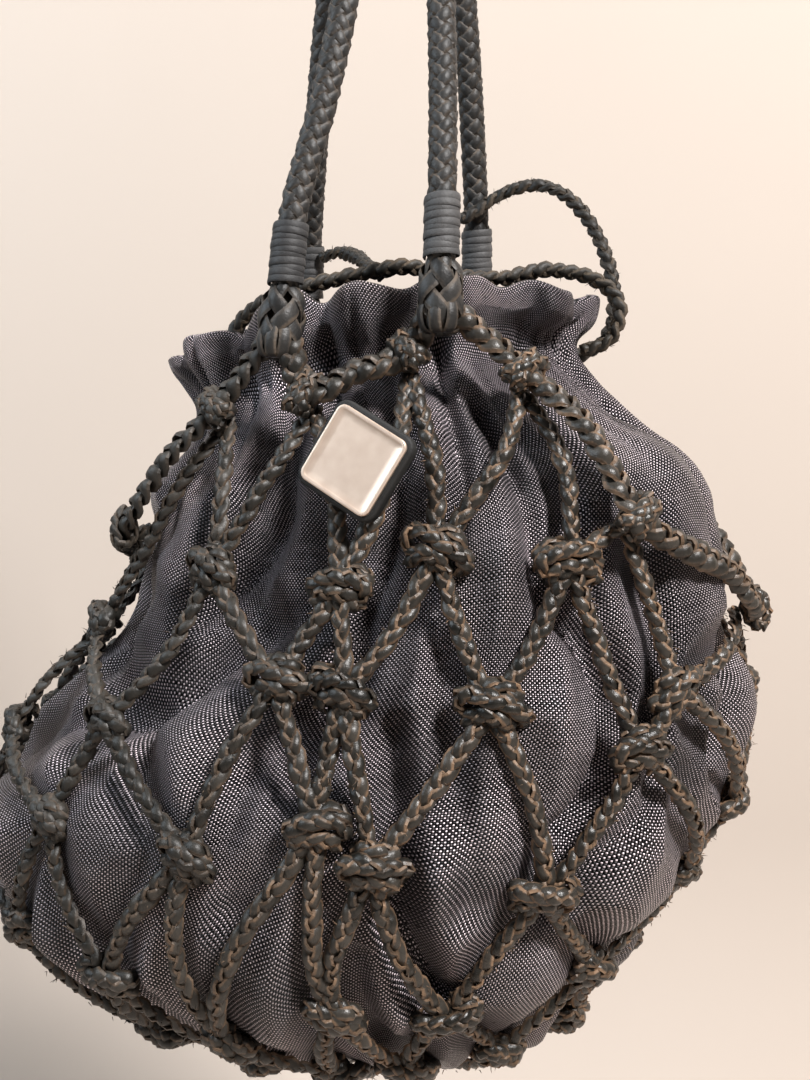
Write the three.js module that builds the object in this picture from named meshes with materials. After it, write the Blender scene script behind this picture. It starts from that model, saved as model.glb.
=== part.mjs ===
// Net handbag: a gathered cloth pouch inside a knotted net of braided leather, carried by two handles.
// Millimetres, +Z up, the front faces -Y. The origin is at the top of the handles, where a hand or a hook
// holds the bag, so every height is negative. A turn is an angle round the bag, 0 at the front and growing
// to the right. Places are given from the pouch's middle, and the hold lies HOLD_SHIFT to the right of it.
import * as THREE from "three";

const GAP = 0.35;
const CLOTH = 2;
const COLUMNS = 60;
const HANDLE_RADIUS = 5;
const WHIPPING = { wall: 1.2, length: 24 };
const COLLAR = { radius: 8.5, half: 12 };
const YOKE_RADIUS = 5;
const CORD = { base: 1.8, bow: 1.8, width: 7, thick: 5.4, stations: [0.27, 0.73] };
const KNOT = { reach: 10.5, foot: 8.5, rise: 10, shoulder: 5 };
const TOP_KNOT = { reach: 8, foot: 7, rise: 5.2, shoulder: 2.8 };
const BASE_KNOT = { reach: 21, foot: 19, rise: 8, shoulder: 4 };
const DRAWSTRING_RADIUS = 2.6;
const BADGE = {
  side: 31.5, corner: 4.5, base: 5, plate: 28, metal: 1.2,
  height: -326, place: -4, turn: -30, lean: 0.3, sidelong: -0.12, lift: 14.3,
};
const COLUMNS_OF_KNOTS = 14;
const HOLD_SHIFT = 8;

// The pouch's smooth outline from the rim down. The right side stands higher than the left by twice the
// rise, and both sides hang lower than the middle by the sag.
const SECTIONS = [
  { height: -256, rise: 11, sag: 12, shift: -2, halfWidth: 83, halfDepth: 38 },
  { height: -268, rise: 10, sag: 8, shift: -2, halfWidth: 82, halfDepth: 36 },
  { height: -283, rise: 11, sag: 6, shift: -2, halfWidth: 75, halfDepth: 30 },
  { height: -300, rise: 8, sag: 4, shift: 4, halfWidth: 84, halfDepth: 46 },
  { height: -325, rise: 4, sag: 2, shift: 13, halfWidth: 100, halfDepth: 64 },
  { height: -358, rise: 0, sag: 0, shift: 15, halfWidth: 108, halfDepth: 78 },
  { height: -390, rise: 0, sag: 0, shift: 10, halfWidth: 121, halfDepth: 88 },
  { height: -415, rise: 0, sag: 0, shift: 0, halfWidth: 135, halfDepth: 95 },
  { height: -445, rise: 0, sag: 0, shift: -11, halfWidth: 139, halfDepth: 98 },
  { height: -474, rise: 0, sag: 0, shift: -22, halfWidth: 132, halfDepth: 96 },
  { height: -498, rise: 0, sag: 0, shift: -25, halfWidth: 119, halfDepth: 88 },
  { height: -518, rise: 0, sag: 0, shift: -20, halfWidth: 99, halfDepth: 74 },
  { height: -534, rise: 0, sag: 0, shift: -9, halfWidth: 74, halfDepth: 54 },
  { height: -545, rise: 0, sag: 0, shift: -3, halfWidth: 42, halfDepth: 31 },
  { height: -549, rise: 0, sag: 0, shift: 0, halfWidth: 18, halfDepth: 14 },
];
const POUCH_ROWS = [
  -256, -266, -276, -285, -297, -315, -340, -370, -402, -434, -466, -498, -522, -540, -549,
];

// Valleys in the cloth: where each starts and ends, how wide it is (degrees) and how deep (mm).
const FOLDS = [
  { top: -300, turnTop: -20, bottom: -385, turnBottom: -40, width: 11, depth: 9 },
  { top: -296, turnTop: 5, bottom: -420, turnBottom: 4, width: 7, depth: 8 },
  { top: -296, turnTop: 30, bottom: -455, turnBottom: 36, width: 6, depth: 8 },
  { top: -420, turnTop: 14, bottom: -505, turnBottom: 12, width: 7, depth: 6 },
  { top: -350, turnTop: 60, bottom: -450, turnBottom: 58, width: 7, depth: 6 },
  { top: -430, turnTop: -26, bottom: -505, turnBottom: -22, width: 7, depth: 5 },
  { top: -365, turnTop: -62, bottom: -410, turnBottom: -50, width: 22, depth: 8 },
  { top: -300, turnTop: 100, bottom: -440, turnBottom: 96, width: 8, depth: 7 },
  { top: -300, turnTop: 140, bottom: -460, turnBottom: 132, width: 9, depth: 8 },
  { top: -298, turnTop: 178, bottom: -450, turnBottom: 184, width: 8, depth: 7 },
  { top: -300, turnTop: 222, bottom: -450, turnBottom: 226, width: 9, depth: 8 },
  { top: -310, turnTop: 262, bottom: -440, turnBottom: 258, width: 8, depth: 6 },
];
const GATHERS = {
  count: 12, wander: 0.09, rim: -256, neck: -283, fade: -345, depth: 8, ruffle: 3, scallop: 5,
};

// Knots of the net, ring by ring and round the bag from the left side: turns and heights.
const RINGS = {
  yoke: {
    turns: [-65, -38, -14, 11, 36, 45, 91, 117, 136, 161, 188, 214, 236, 262],
    heights: [-346, -302, -302, -293, -300, -342, -378, -340, -300, -295, -299, -303, -341, -362],
  },
  first: {
    turns: [-72, -35, -8, 8, 32, 52, 96, 122, 147, 173, 199, 224, 248, 270],
    heights: [-384, -358, -361, -349, -353, -396, -406, -384, -366, -360, -360, -364, -378, -394],
  },
  second: {
    turns: [-76, -39, -14, -3, 19, 44, 83, 109, 134, 160, 186, 211, 236, 261],
    heights: [-426, -410, -391, -393, -397, -413, -443, -436, -420, -410, -406, -410, -418, -428],
  },
  third: {
    turns: [-80, -42, -15, 1, 10, 36, 79, 100, 124, 148, 173, 199, 225, 252],
    heights: [-460, -444, -447, -434, -446, -457, -468, -472, -464, -458, -456, -458, -462, -464],
  },
  fourth: {
    turns: [-50, -27, -11, 11, 30, 60, 90, 113, 137, 161, 186, 212, 240, 270],
    heights: [-488, -494, -516, -499, -502, -495, -502, -506, -506, -504, -503, -502, -498, -492],
  },
  fifth: {
    turns: [-38, -17, 3, 21, 46, 74, 101, 125, 149, 174, 199, 226, 255, 290],
    heights: [-524, -531, -532, -529, -528, -526, -528, -528, -528, -528, -528, -528, -527, -524],
  },
};
// How a knot hangs from the ring above: from its own column, and from the next or the one before.
const HANGS = [
  { from: "yoke", to: "first", steps: [-1, 0] },
  { from: "first", to: "second", steps: [0, 1] },
  { from: "second", to: "third", steps: [0, 1] },
  { from: "third", to: "fourth", steps: [-1, 0] },
  { from: "fourth", to: "fifth", steps: [-1, 0] },
];

// Handle legs from the foot up, and the bend at the top that a hand holds.
const HANDLES = {
  front: {
    left: [
      [-27, -47, -259], [-24.7, -44.5, -235], [-14.4, -36, -190], [-8, -28, -149], [-5.5, -19, -90],
      [-5, -12, -38],
    ],
    top: [[-1, -9.5, -15], [8, -8, -HANDLE_RADIUS], [17, -9.5, -15]],
    right: [
      [28, -47, -251], [28, -44.5, -227], [27, -36, -188], [25, -28, -149], [22, -19, -90], [21, -12, -38],
    ],
  },
  back: {
    left: [
      [-41, 46, -254], [-39.5, 43.5, -230], [-34, 35, -184], [-27.5, 27, -140], [-15, 18, -86], [-6, 12, -38],
    ],
    top: [[-1, 9.5, -15], [8, 8, -HANDLE_RADIUS], [17, 9.5, -15]],
    right: [
      [31, 46, -249], [31, 43.5, -225], [29.5, 35, -180], [27, 27, -138], [23, 18, -86], [21, 12, -38],
    ],
  },
};
const YOKES = [
  { name: "yoke_front", from: "front_left", knots: [2, 3], to: "front_right" },
  { name: "yoke_right", from: "front_right", knots: [4, 5, 6, 7, 8], to: "back_right" },
  { name: "yoke_back", from: "back_right", knots: [9, 10], to: "back_left" },
  { name: "yoke_left", from: "back_left", knots: [11, 12, 13, 0, 1], to: "front_left" },
];
const DRAWSTRINGS = [
  {
    name: "drawstring_right",
    route: [
      [25.5, 33.7, -224], [31, 34.6, -221], [38, 35.5, -216], [47, 35, -212], [58, 33, -211.5],
      [70, 29, -218], [80.5, 24, -233], [87, 17, -254], [85.5, 10, -273], [72.9, 3.8, -281.7],
    ],
  },
  {
    name: "drawstring_rim",
    route: [
      [75.6, -2, -279.4], [86, -2, -275], [88.5, 0, -262], [81, 2, -253.6], [64, 3, -249], [46, 0, -252],
      [28, -6, -251.5], [10, -11, -248.5], [-8, -13, -251.5], [-26, -14, -255], [-42, -13, -259.5],
      [-53, -11, -267], [-59, -10, -276],
    ],
  },
  {
    name: "drawstring_left",
    route: [
      [-33.2, 40.1, -237], [-26, 36, -235.5], [-15.5, 23, -239], [-6.5, 6, -246], [0.8, -8, -250.6],
    ],
  },
];

const material = (name, color, roughness, metalness) => (
  new THREE.MeshStandardMaterial({ name, color, roughness, metalness })
);
const materials = {
  cloth: material("cloth", 0x35343c, 0.45, 0),
  net: material("net", 0x2b2923, 0.55, 0),
  handle: material("handle", 0x2e2b24, 0.55, 0),
  whipping: material("whipping", 0x1f1d1a, 0.5, 0),
  cord: material("cord", 0x26221d, 0.75, 0),
  metal: material("metal", 0xc9c9cc, 0.3, 1),
};
const rad = THREE.MathUtils.degToRad;
const V = (x, y, z) => new THREE.Vector3(x, y, z);
const bag = new THREE.Group();
bag.position.x = -HOLD_SHIFT;

function add(name, geometry, surface) {
  const mesh = new THREE.Mesh(geometry, surface);
  mesh.name = name;
  bag.add(mesh);
  return mesh;
}

function solid(points, faces) {
  const geometry = new THREE.BufferGeometry();
  const numbers = points.flatMap((p) => [p.x, p.y, p.z]);
  geometry.setAttribute("position", new THREE.Float32BufferAttribute(numbers, 3));
  geometry.setIndex(faces.flat());
  geometry.computeVertexNormals();
  return geometry;
}

// One number of the outline between two sections, on a smooth curve through the sections around it.
function between(key, row) {
  const last = SECTIONS.length - 1;
  const i = Math.min(Math.max(Math.floor(row), 0), last - 1);
  const t = row - i;
  const at = (k) => SECTIONS[Math.min(Math.max(k, 0), last)][key];
  const [a, b, c, d] = [at(i - 1), at(i), at(i + 1), at(i + 2)];
  const m0 = i > 0 ? (c - a) / 2 : c - b;
  const m1 = i + 2 <= last ? (d - b) / 2 : c - b;
  const t2 = t * t;
  const t3 = t2 * t;
  return (2 * t3 - 3 * t2 + 1) * b + (t3 - 2 * t2 + t) * m0 + (3 * t2 - 2 * t3) * c + (t3 - t2) * m1;
}

function rowAt(height) {
  let low = 0;
  let high = SECTIONS.length - 1;
  for (let i = 0; i < 40; i += 1) {
    const middle = (low + high) / 2;
    if (between("height", middle) > height) low = middle;
    else high = middle;
  }
  return (low + high) / 2;
}

// The point of the outline at a row and a turn (radians), and the direction straight out of it.
function outline(row, turn) {
  const reach = between("halfWidth", row) * Math.sin(turn);
  const depth = between("halfDepth", row) * Math.cos(turn);
  const side = Math.sin(turn);
  const height = between("height", row) + between("rise", row) * side - between("sag", row) * side * side;
  return V(between("shift", row) + reach, -depth, height);
}

function outward(row, turn) {
  const step = 0.02;
  const last = SECTIONS.length - 1;
  const across = outline(row, turn + step).sub(outline(row, turn - step));
  const down = outline(Math.min(row + step, last), turn).sub(outline(Math.max(row - step, 0), turn));
  return down.cross(across).normalize();
}

function onBag(row, turn, lift) {
  return outline(row, turn).addScaledVector(outward(row, turn), lift);
}

const smooth = (t) => {
  const c = Math.min(Math.max(t, 0), 1);
  return c * c * (3 - 2 * c);
};

const gatherWave = (turn) => {
  const wandering = turn + GATHERS.wander * Math.sin(2 * turn);
  return 0.5 - 0.5 * Math.cos(GATHERS.count * wandering);
};
const inRuffle = (height) => smooth((height - GATHERS.neck) / (GATHERS.rim - GATHERS.neck));

// How far the cloth lies inside its outline at a height and a turn: the gathers at the neck, and the folds.
function dent(height, turn) {
  const gathered = smooth((height - GATHERS.fade) / (GATHERS.neck - GATHERS.fade));
  let depth = (GATHERS.depth + GATHERS.ruffle * inRuffle(height)) * gathered * gatherWave(turn);
  for (const fold of FOLDS) {
    const along = (fold.top - height) / (fold.top - fold.bottom);
    const middle = fold.turnTop + (fold.turnBottom - fold.turnTop) * along;
    const off = THREE.MathUtils.euclideanModulo(THREE.MathUtils.radToDeg(turn) - middle + 180, 360) - 180;
    const ends = smooth((along + 0.25) / 0.4) * smooth((1.25 - along) / 0.4);
    depth = Math.max(depth, fold.depth * ends * Math.exp(-((off / fold.width) ** 2)));
  }
  return depth;
}

function pouch() {
  const points = [];
  const faces = [];
  for (const wall of [0, CLOTH]) {
    for (const height of POUCH_ROWS) {
      const row = rowAt(height);
      for (let c = 0; c < COLUMNS; c += 1) {
        const turn = (c / COLUMNS) * 2 * Math.PI;
        const point = onBag(row, turn, -dent(height, turn) - wall);
        point.z -= GATHERS.scallop * inRuffle(height) * gatherWave(turn);
        points.push(point);
      }
    }
    points.push(V(0, 0, POUCH_ROWS[POUCH_ROWS.length - 1] - 0.3 + wall));
  }
  const rows = POUCH_ROWS.length;
  const layer = rows * COLUMNS + 1;
  for (let c = 0; c < COLUMNS; c += 1) {
    const n = (c + 1) % COLUMNS;
    for (let r = 0; r + 1 < rows; r += 1) {
      const [a, e] = [r * COLUMNS + c, r * COLUMNS + n];
      const [b, d] = [a + COLUMNS, e + COLUMNS];
      faces.push([a, b, d], [a, d, e]);
      faces.push([layer + a, layer + d, layer + b], [layer + a, layer + e, layer + d]);
    }
    const foot = (rows - 1) * COLUMNS;
    faces.push([foot + c, layer - 1, foot + n], [layer + foot + c, layer + foot + n, 2 * layer - 1]);
    faces.push([c, n, layer + n], [c, layer + n, layer + c]);
  }
  return solid(points, faces);
}

// The net is one body. Each cord is swept between two knots, and the cords of a knot share its corners.
function net() {
  const points = [];
  const faces = [];
  const put = (p) => points.push(p) - 1;
  const knots = [];
  const index = {};
  const turnOf = (ring, column) => {
    const n = COLUMNS_OF_KNOTS;
    const lap = Math.floor(column / n);
    return rad(RINGS[ring].turns[column - lap * n] + 360 * lap);
  };
  for (const ring of Object.keys(RINGS)) {
    index[ring] = knots.length;
    for (let c = 0; c < COLUMNS_OF_KNOTS; c += 1) {
      const row = rowAt(RINGS[ring].heights[c]);
      const size = ring === "yoke" ? TOP_KNOT : KNOT;
      knots.push({ row, turn: turnOf(ring, c), size, open: ring === "yoke", arms: [] });
    }
  }
  const last = SECTIONS.length - 1;
  const bottom = V(0, 0, SECTIONS[last].height);
  const base = { size: BASE_KNOT, open: false, arms: [], centre: bottom, out: V(0, 0, -1) };
  for (const knot of knots) {
    knot.centre = outline(knot.row, knot.turn);
    knot.out = outward(knot.row, knot.turn);
  }
  const cords = [];
  const join = (upper, lower, path) => {
    const cord = { ends: [upper, lower], path };
    upper.arms.push({ cord, end: 0 });
    lower.arms.push({ cord, end: 1 });
    cords.push(cord);
  };
  const wrap = (c) => THREE.MathUtils.euclideanModulo(c, COLUMNS_OF_KNOTS);
  for (const hang of HANGS) {
    for (let c = 0; c < COLUMNS_OF_KNOTS; c += 1) {
      for (const step of hang.steps) {
        const upper = knots[index[hang.from] + c];
        const lower = knots[index[hang.to] + wrap(c + step)];
        const endTurn = turnOf(hang.to, c + step);
        join(upper, lower, (t) => {
          const row = upper.row + (lower.row - upper.row) * t;
          const turn = upper.turn + (endTurn - upper.turn) * t;
          return { centre: outline(row, turn), out: outward(row, turn) };
        });
      }
    }
  }
  for (let c = 0; c < COLUMNS_OF_KNOTS; c += 1) {
    const upper = knots[index.fifth + c];
    join(upper, base, (t) => {
      const row = upper.row + (last - upper.row) * t;
      return { centre: outline(row, upper.turn), out: outward(row, upper.turn) };
    });
  }
  knots.push(base);

  for (const knot of knots) {
    const { centre, out, size } = knot;
    const up = (Math.abs(out.z) > 0.98 ? V(0, 1, 0) : V(0, 0, 1)).projectOnPlane(out).normalize();
    const left = out.clone().cross(up);
    const away = (angle, reach, lift) => centre.clone()
      .addScaledVector(up, Math.cos(angle) * reach)
      .addScaledVector(left, Math.sin(angle) * reach)
      .addScaledVector(out, lift);
    for (const arm of knot.arms) {
      const to = arm.cord.path(arm.end === 0 ? 0.3 : 0.7).centre.sub(centre);
      arm.angle = THREE.MathUtils.euclideanModulo(Math.atan2(to.dot(left), to.dot(up)), 2 * Math.PI);
    }
    knot.arms.sort((a, b) => a.angle - b.angle);
    knot.top = put(away(0, 0, CORD.base + size.rise));
    const corner = (angle) => ({
      side: put(away(angle, size.reach, CORD.base + size.shoulder)),
      foot: put(away(angle, size.foot, CORD.base)),
    });
    const n = knot.arms.length;
    knot.arms.forEach((arm, i) => {
      const next = knot.arms[(i + 1) % n];
      if (knot.open && i === n - 1) {
        arm.after = corner(1.5 * Math.PI);
        return;
      }
      const span = THREE.MathUtils.euclideanModulo(next.angle - arm.angle, 2 * Math.PI);
      arm.after = corner(arm.angle + span / 2);
    });
    knot.arms.forEach((arm, i) => {
      arm.before = knot.open && i === 0 ? corner(0.5 * Math.PI) : knot.arms[(i + n - 1) % n].after;
    });
    const feet = knot.arms.map((arm) => arm.after.foot);
    if (knot.open) {
      const first = knot.arms[0].before;
      const end = knot.arms[n - 1].after;
      feet.unshift(first.foot);
      faces.push([first.side, knot.top, end.side]);
      faces.push([first.side, end.side, end.foot], [first.side, end.foot, first.foot]);
    }
    for (let i = 1; i + 1 < feet.length; i += 1) faces.push([feet[0], feet[i + 1], feet[i]]);
  }

  for (const cord of cords) {
    const [upper, lower] = cord.ends;
    const start = upper.arms.find((arm) => arm.cord === cord);
    const end = lower.arms.find((arm) => arm.cord === cord);
    const beside = (knot, arm, way) => {
      const i = knot.arms.indexOf(arm) + way;
      const n = knot.arms.length;
      if (knot.open && (i < 0 || i >= n)) return null;
      return knot.arms[(i + n) % n];
    };
    const room = (centre, neighbour, t) => {
      if (!neighbour) return CORD.width / 2;
      const s = neighbour.end === 0 ? t : 1 - t;
      return 0.46 * centre.distanceTo(neighbour.cord.path(s).centre);
    };
    const rings = [[start.after.side, upper.top, start.before.side, start.before.foot, start.after.foot]];
    for (const t of CORD.stations) {
      const { centre, out } = cord.path(t);
      const along = cord.path(t + 0.02).centre.sub(cord.path(t - 0.02).centre).normalize();
      const side = along.clone().cross(out).negate();
      const leftRoom = Math.min(CORD.width / 2, room(centre, beside(upper, start, 1), t),
        room(centre, beside(lower, end, -1), 1 - t));
      const rightRoom = Math.min(CORD.width / 2, room(centre, beside(upper, start, -1), t),
        room(centre, beside(lower, end, 1), 1 - t));
      const at = (across, lift) => put(centre.clone().addScaledVector(side, across)
        .addScaledVector(out, CORD.base + CORD.bow + lift));
      rings.push([
        at(leftRoom, CORD.thick * 0.45),
        at(0, CORD.thick),
        at(-rightRoom, CORD.thick * 0.45),
        at(-rightRoom * 0.6, 0),
        at(leftRoom * 0.6, 0),
      ]);
    }
    rings.push([end.before.side, lower.top, end.after.side, end.after.foot, end.before.foot]);
    for (let r = 0; r + 1 < rings.length; r += 1) {
      for (let k = 0; k < 5; k += 1) {
        const m = (k + 1) % 5;
        const [a, b, c, d] = [rings[r][k], rings[r][m], rings[r + 1][m], rings[r + 1][k]];
        faces.push([a, b, c], [a, c, d]);
      }
    }
  }
  return solid(points, faces);
}

function tube(curve, radius, sides, steps, hole) {
  const shape = new THREE.Shape();
  const ring = (r) => Array.from({ length: sides }, (_, i) => {
    const a = (i / sides) * 2 * Math.PI;
    return new THREE.Vector2(r * Math.cos(a), r * Math.sin(a));
  });
  shape.setFromPoints(ring(radius));
  if (hole) shape.holes.push(new THREE.Path().setFromPoints(ring(hole)));
  return new THREE.ExtrudeGeometry(shape, { steps, extrudePath: curve, bevelEnabled: false });
}

const smoothCurve = (list) => new THREE.CatmullRomCurve3(list, false, "centripetal");

const collars = {};
for (const [place, handle] of Object.entries(HANDLES)) {
  const left = handle.left.map((p) => V(...p));
  const right = handle.right.map((p) => V(...p));
  const top = handle.top.map((p) => V(...p));
  const curve = smoothCurve([...left, ...top, ...right.slice().reverse()]);
  add(`handle_${place}`, tube(curve, HANDLE_RADIUS, 8, 34), materials.handle);
  const long = curve.getLength();
  const share = WHIPPING.length / long;
  const spans = { left: [0.001, share], right: [1 - share, 0.999] };
  for (const [side, [from, to]] of Object.entries(spans)) {
    const places = Array.from({ length: 5 }, (_, i) => from + ((to - from) * i) / 4);
    const stretch = smoothCurve(places.map((u) => curve.getPointAt(u)));
    const bore = HANDLE_RADIUS + 1.6 * GAP;
    add(`whipping_${place}_${side}`, tube(stretch, bore + WHIPPING.wall, 10, 2, bore), materials.whipping);
    const foot = side === "left" ? left[0] : right[0];
    const up = side === "left" ? curve.getTangentAt(0) : curve.getTangentAt(1).negate();
    const centre = foot.clone().addScaledVector(up, -COLLAR.half - GAP);
    collars[`${place}_${side}`] = centre;
    const profile = Array.from({ length: 7 }, (_, i) => {
      const a = (i / 6 - 0.5) * Math.PI;
      return new THREE.Vector2(Math.max(COLLAR.radius * Math.cos(a), 0), COLLAR.half * Math.sin(a));
    });
    const ball = new THREE.LatheGeometry(profile, 9);
    ball.applyQuaternion(new THREE.Quaternion().setFromUnitVectors(V(0, 1, 0), up));
    ball.translate(centre.x, centre.y, centre.z);
    add(`collar_${place}_${side}`, ball, materials.handle);
  }
}

for (const yoke of YOKES) {
  const lift = CORD.base + CORD.thick + 3 * GAP + YOKE_RADIUS;
  const hung = [];
  yoke.knots.forEach((k, i) => {
    const place = { row: rowAt(RINGS.yoke.heights[k]), turn: RINGS.yoke.turns[k] };
    if (i > 0) {
      const last = yoke.knots[i - 1];
      const lap = place.turn < RINGS.yoke.turns[last] ? 360 : 0;
      const halfway = (place.turn + lap + RINGS.yoke.turns[last]) / 2;
      hung.push(onBag((place.row + rowAt(RINGS.yoke.heights[last])) / 2, rad(halfway), lift));
    }
    hung.push(onBag(place.row, rad(place.turn), lift));
  });
  const start = (collar, towards) => {
    const way = towards.clone().sub(collar).normalize();
    const swell = 1 / Math.hypot(Math.hypot(way.x, way.y) / COLLAR.radius, way.z / COLLAR.half);
    return collar.clone().addScaledVector(way, swell + 2 * GAP);
  };
  const from = start(collars[yoke.from], hung[0]);
  const to = start(collars[yoke.to], hung[hung.length - 1]);
  const curve = smoothCurve([from, ...hung, to]);
  add(yoke.name, tube(curve, YOKE_RADIUS, 7, Math.round(curve.getLength() / 15)), materials.net);
}

for (const string of DRAWSTRINGS) {
  const curve = smoothCurve(string.route.map((p) => V(...p)));
  add(string.name, tube(curve, DRAWSTRING_RADIUS, 8, Math.round(curve.getLength() / 11)), materials.cord);
}

function roundedSquare(side, corner) {
  const h = side / 2;
  const shape = new THREE.Shape();
  for (const [x, y, quarter] of [[1, -1, -0.5], [1, 1, 0], [-1, 1, 0.5], [-1, -1, 1]]) {
    const from = quarter * Math.PI;
    shape.absarc(x * (h - corner), y * (h - corner), corner, from, from + Math.PI / 2, false);
  }
  return shape;
}

// The badge hangs over the net at the front, nearly upright and turned on one corner.
function badge() {
  const row = rowAt(BADGE.height);
  const turn = rad(BADGE.place);
  const out = outward(row, turn);
  const face = V(out.x + BADGE.sidelong, out.y, out.z * BADGE.lean).normalize();
  const right = V(0, 0, 1).cross(face).normalize();
  const frame = new THREE.Matrix4().makeBasis(right, face.clone().cross(right), face);
  const at = onBag(row, turn, BADGE.lift);
  const place = (geometry, forward) => {
    geometry.rotateZ(rad(BADGE.turn));
    geometry.translate(0, 0, forward);
    geometry.applyMatrix4(frame);
    geometry.translate(at.x, at.y, at.z);
    return geometry;
  };
  const slab = (side, corner, depth) => new THREE.ExtrudeGeometry(roundedSquare(side, corner),
    { depth, bevelEnabled: false, curveSegments: 3 });
  add("badge_backing", place(slab(BADGE.side, BADGE.corner, BADGE.base), 0), materials.handle);
  const plate = slab(BADGE.plate, BADGE.corner - 1.5, BADGE.metal);
  add("badge_plate", place(plate, BADGE.base + GAP), materials.metal);
}

add("pouch", pouch(), materials.cloth);
add("net", net(), materials.net);
badge();

export default bag;
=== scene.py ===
import math
from collections import namedtuple

import bpy
import numpy as np
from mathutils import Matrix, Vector, kdtree, noise


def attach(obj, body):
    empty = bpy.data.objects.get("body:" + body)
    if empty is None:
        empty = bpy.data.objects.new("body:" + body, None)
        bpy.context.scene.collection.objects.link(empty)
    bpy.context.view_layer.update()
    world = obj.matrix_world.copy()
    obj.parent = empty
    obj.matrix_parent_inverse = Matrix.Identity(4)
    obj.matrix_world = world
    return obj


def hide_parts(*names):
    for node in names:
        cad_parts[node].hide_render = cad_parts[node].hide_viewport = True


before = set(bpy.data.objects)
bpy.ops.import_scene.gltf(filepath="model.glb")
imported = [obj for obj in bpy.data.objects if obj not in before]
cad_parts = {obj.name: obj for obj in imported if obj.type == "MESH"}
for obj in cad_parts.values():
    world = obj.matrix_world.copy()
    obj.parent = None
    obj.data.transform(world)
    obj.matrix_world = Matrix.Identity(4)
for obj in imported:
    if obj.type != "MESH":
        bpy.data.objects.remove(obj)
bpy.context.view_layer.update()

MM = 0.001
FULL_TURN = 2 * math.pi
RNG = np.random.default_rng(7)
PHASE_SPAN = 6.28
# The frame's origin lies this far to the right of the pouch's middle.
HOLD_SHIFT = 8.0

# The bag's outline, row by row: height, rise, sag, shift, half width, half depth.
SECTIONS = np.array([
    (-256, 11, 12, -2, 83, 38), (-268, 10, 8, -2, 82, 36), (-283, 11, 6, -2, 75, 30),
    (-300, 8, 4, 4, 84, 46), (-325, 4, 2, 13, 100, 64), (-358, 0, 0, 15, 108, 78),
    (-390, 0, 0, 10, 121, 88), (-415, 0, 0, 0, 135, 95), (-445, 0, 0, -11, 139, 98),
    (-474, 0, 0, -22, 132, 96), (-498, 0, 0, -25, 119, 88), (-518, 0, 0, -20, 99, 74),
    (-534, 0, 0, -9, 74, 54), (-545, 0, 0, -3, 42, 31), (-549, 0, 0, 0, 18, 14),
], float)
LAST_ROW = len(SECTIONS) - 1

# The cloth's folds: top, turn at the top, bottom, turn at the bottom, width in degrees, depth.
FOLDS = [
    (-300, -20, -385, -40, 11, 9), (-296, 5, -420, 4, 7, 8), (-296, 30, -455, 36, 6, 8),
    (-420, 14, -505, 12, 7, 6), (-350, 60, -450, 58, 7, 6), (-430, -26, -505, -22, 7, 5),
    (-365, -62, -410, -50, 22, 8), (-300, 100, -440, 96, 8, 7), (-300, 140, -460, 132, 9, 8),
    (-298, 178, -450, 184, 8, 7), (-300, 222, -450, 226, 9, 8), (-310, 262, -440, 258, 8, 6),
]
# Creases between the cloth's lobes: turns and heights along each, its width and its depth.
CREASES = [
    ([(-62, -418), (-48, -403), (-32, -382), (-15, -365), (-10, -350)], 15, 12),
    ([(2, -330), (-6, -371), (-4, -400)], 10, 9),
    ([(25, -303), (26, -346), (28, -366), (36, -379), (40, -397), (40, -420), (36, -440)], 8, 11),
    ([(7, -358), (11, -395), (18, -423), (26, -462)], 9, 7),
    ([(6, -403), (12, -442), (17, -466), (28, -498)], 7, 11),
    ([(-10, -390), (-12, -426), (-7, -465)], 10, 6),
    ([(21, -283), (15, -317), (11, -347)], 6, 8),
    ([(42, -300), (36, -334), (38, -366)], 6, 7),
    ([(50, -350), (52, -379), (49, -408)], 9, 6),
    ([(52, -422), (44, -447), (42, -468)], 8, 7),
    ([(14, -480), (18, -522)], 9, 6),
    ([(-37, -409), (-22, -448), (-27, -492)], 11, 6),
    ([(-20, -288), (-26, -330), (-44, -372)], 10, 9),
    ([(76, -306), (78, -360), (70, -425)], 10, 8), ([(100, -372), (92, -430), (98, -480)], 10, 7),
    ([(122, -298), (112, -350), (119, -432)], 9, 10), ([(150, -298), (159, -360), (146, -445)], 9, 8),
    ([(170, -400), (164, -460), (172, -505)], 9, 7), ([(190, -298), (182, -370), (197, -452)], 9, 10),
    ([(214, -305), (226, -380), (217, -472)], 9, 8), ([(250, -320), (243, -390), (256, -455)], 10, 8),
    ([(276, -330), (283, -380)], 14, 9),
]
# Crests that stand out, in the same form: the big lobe right of the middle comes first.
CRESTS = [
    ([(20, -305), (17, -345), (22, -375), (29, -402), (29, -428)], 17, 5),
    ([(20, -446), (23, -470), (27, -500)], 14, 4),
    ([(-50, -432), (-46, -470)], 22, 4), ([(-18, -440), (-16, -480)], 18, 4),
    ([(60, -330), (62, -380)], 20, 4), ([(46, -440), (52, -462)], 16, 4),
    ([(135, -330), (130, -400)], 20, 5), ([(205, -330), (207, -420)], 20, 5),
]
# Broad hollows where the cloth falls in behind the net, in the same form.
HOLLOWS = [
    ([(-30, -345), (-36, -385), (-46, -405)], 24, 13), ([(-2, -350), (-5, -420)], 12, 10),
    ([(-74, -395), (-78, -420)], 22, 10), ([(112, -390), (108, -420)], 24, 11),
    ([(168, -350), (176, -400)], 20, 11), ([(236, -400), (232, -430)], 24, 11),
]
MM_PER_DEGREE = 1.75

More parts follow.
